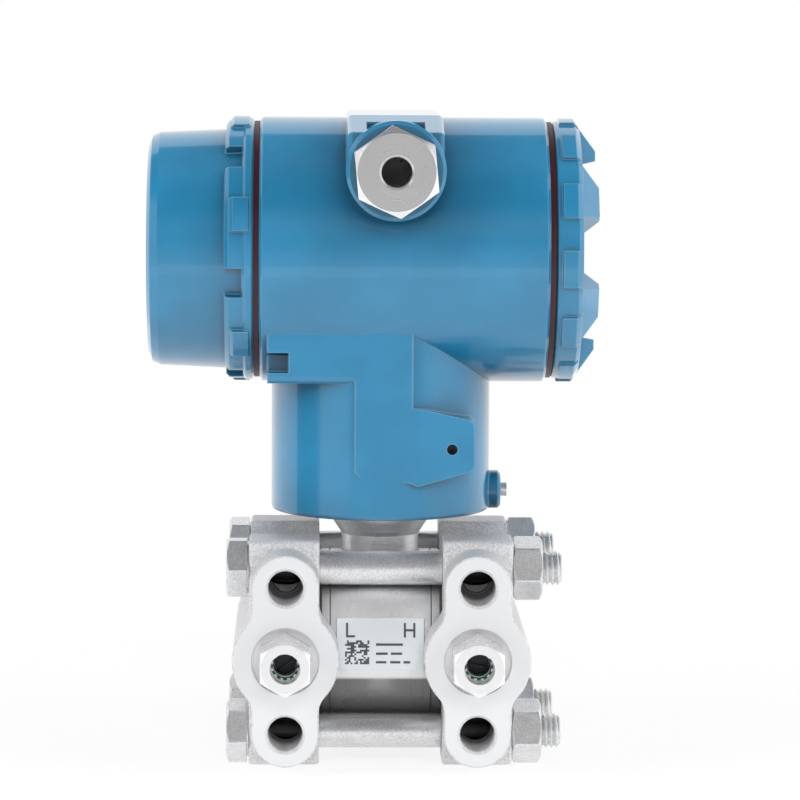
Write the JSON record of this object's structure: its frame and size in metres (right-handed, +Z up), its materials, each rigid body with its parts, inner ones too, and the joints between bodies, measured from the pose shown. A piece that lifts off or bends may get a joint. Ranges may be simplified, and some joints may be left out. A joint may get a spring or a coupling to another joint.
{
  "type": "differential pressure transmitter",
  "caption": "Two-room instrument housing that turns on a sensor capsule clamped between two process flanges, with screwed covers, cable entry and vent fittings.",
  "frame": {"origin": "centre of the front process bolt pattern, on the plane where its threads start, 0.55 mm inside the front process face", "axes": "+Z up along the sensor neck, -Y out of the front process face, +X towards the high-pressure side"},
  "size_m": [0.1276, 0.1085, 0.1849],
  "materials": {
    "blue_paint": "smooth glossy enamel on die-cast aluminium",
    "cast_stainless": "blasted cast stainless steel, machined faces",
    "turned_stainless": "fine turned stainless steel",
    "bolt_steel": "bright plated steel",
    "dark_screw_steel": "blackened steel",
    "spacer_brass": "nickel-free turned brass",
    "diaphragm_foil": "rolled stainless foil",
    "label_foil": "satin silver foil with grey print",
    "black_rubber": "nitrile rubber",
    "dark_red_rubber": "dark red silicone rubber",
    "black_plastic": "black moulded plastic",
    "green_plastic": "dark green seal",
    "white_plastic": "white packing",
    "window_glass": "toughened glass",
    "board_laminate": "green circuit board",
    "panel_glass": "liquid crystal panel",
    "terminal_plastic": "black moulded thermoset"
  },
  "bodies": {
    "sensor_module": {"low_side_flange": "cast_stainless", "high_side_flange": "cast_stainless", "sensor_capsule": "turned_stainless", "low_side_diaphragm": "diaphragm_foil", "high_side_diaphragm": "diaphragm_foil", "low_side_flange_seal": "black_rubber", "high_side_flange_seal": "black_rubber", "clamp_bolts": "bolt_steel", "clamp_nuts": "bolt_steel", "low_side_vent_body": "turned_stainless", "high_side_vent_body": "turned_stainless", "low_side_vent_seal": "green_plastic", "high_side_vent_seal": "green_plastic", "low_side_vent_packing": "white_plastic", "high_side_vent_packing": "white_plastic", "low_side_rear_plug": "turned_stainless", "high_side_rear_plug": "turned_stainless", "capsule_label": "label_foil", "neck_seal": "black_rubber", "header_board": "board_laminate"},
    "housing": {"housing_casting": "blue_paint", "housing_lock_screw": "dark_screw_steel", "ground_screw": "bolt_steel", "cable_gland": "turned_stainless", "conduit_blank": "turned_stainless", "electronics_board": "board_laminate", "board_spacers": "spacer_brass", "display_module": "black_plastic", "display_panel": "panel_glass", "module_screws": "bolt_steel", "terminal_block": "terminal_plastic", "terminal_screws": "spacer_brass", "inner_ground_screw": "bolt_steel"},
    "display_seal": {"display_cover_seal": "dark_red_rubber"},
    "display_cap": {"display_cover": "blue_paint", "display_window": "window_glass", "window_gasket": "black_rubber", "window_retainer": "bolt_steel"},
    "terminal_seal": {"terminal_cover_seal": "dark_red_rubber"},
    "terminal_cap": {"terminal_cover": "blue_paint"},
    "low_vent_screw": {"low_side_vent_stem": "black_plastic"},
    "high_vent_screw": {"high_side_vent_stem": "black_plastic"}
  },
  "joints": [
    {"name": "housing_turn", "type": "hinge", "parent": "sensor_module", "child": "housing", "pos_m": [0, 0.04345, 0.05], "axis": [0, 0, 1], "range_deg": [-180, 180]},
    {"name": "display_seal_travel", "type": "slide", "parent": "housing", "child": "display_seal", "axis": [-1, 0, 0], "range_m": [0, 0.01002]},
    {"name": "display_cover_turn", "type": "hinge", "parent": "display_seal", "child": "display_cap", "pos_m": [-0.0364, 0.04345, 0.113], "axis": [-1, 0, 0], "range_deg": [0, 1800]},
    {"name": "terminal_seal_travel", "type": "slide", "parent": "housing", "child": "terminal_seal", "axis": [1, 0, 0], "range_m": [0, 0.01002]},
    {"name": "terminal_cover_turn", "type": "hinge", "parent": "terminal_seal", "child": "terminal_cap", "pos_m": [0.0485, 0.04345, 0.113], "axis": [1, 0, 0], "range_deg": [0, 1800]},
    {"name": "low_vent_turn", "type": "hinge", "parent": "sensor_module", "child": "low_vent_screw", "pos_m": [-0.027, 0, 0], "axis": [0, -1, 0], "range_deg": [0, 180]},
    {"name": "high_vent_turn", "type": "hinge", "parent": "sensor_module", "child": "high_vent_screw", "pos_m": [0.027, 0, 0], "axis": [0, -1, 0], "range_deg": [0, 180]}
  ],
  "couplings": [
    {"joint": "display_seal_travel", "follows": "display_cover_turn", "m_per_rad": 0.00031831},
    {"joint": "terminal_seal_travel", "follows": "terminal_cover_turn", "m_per_rad": 0.00031831}
  ]
}
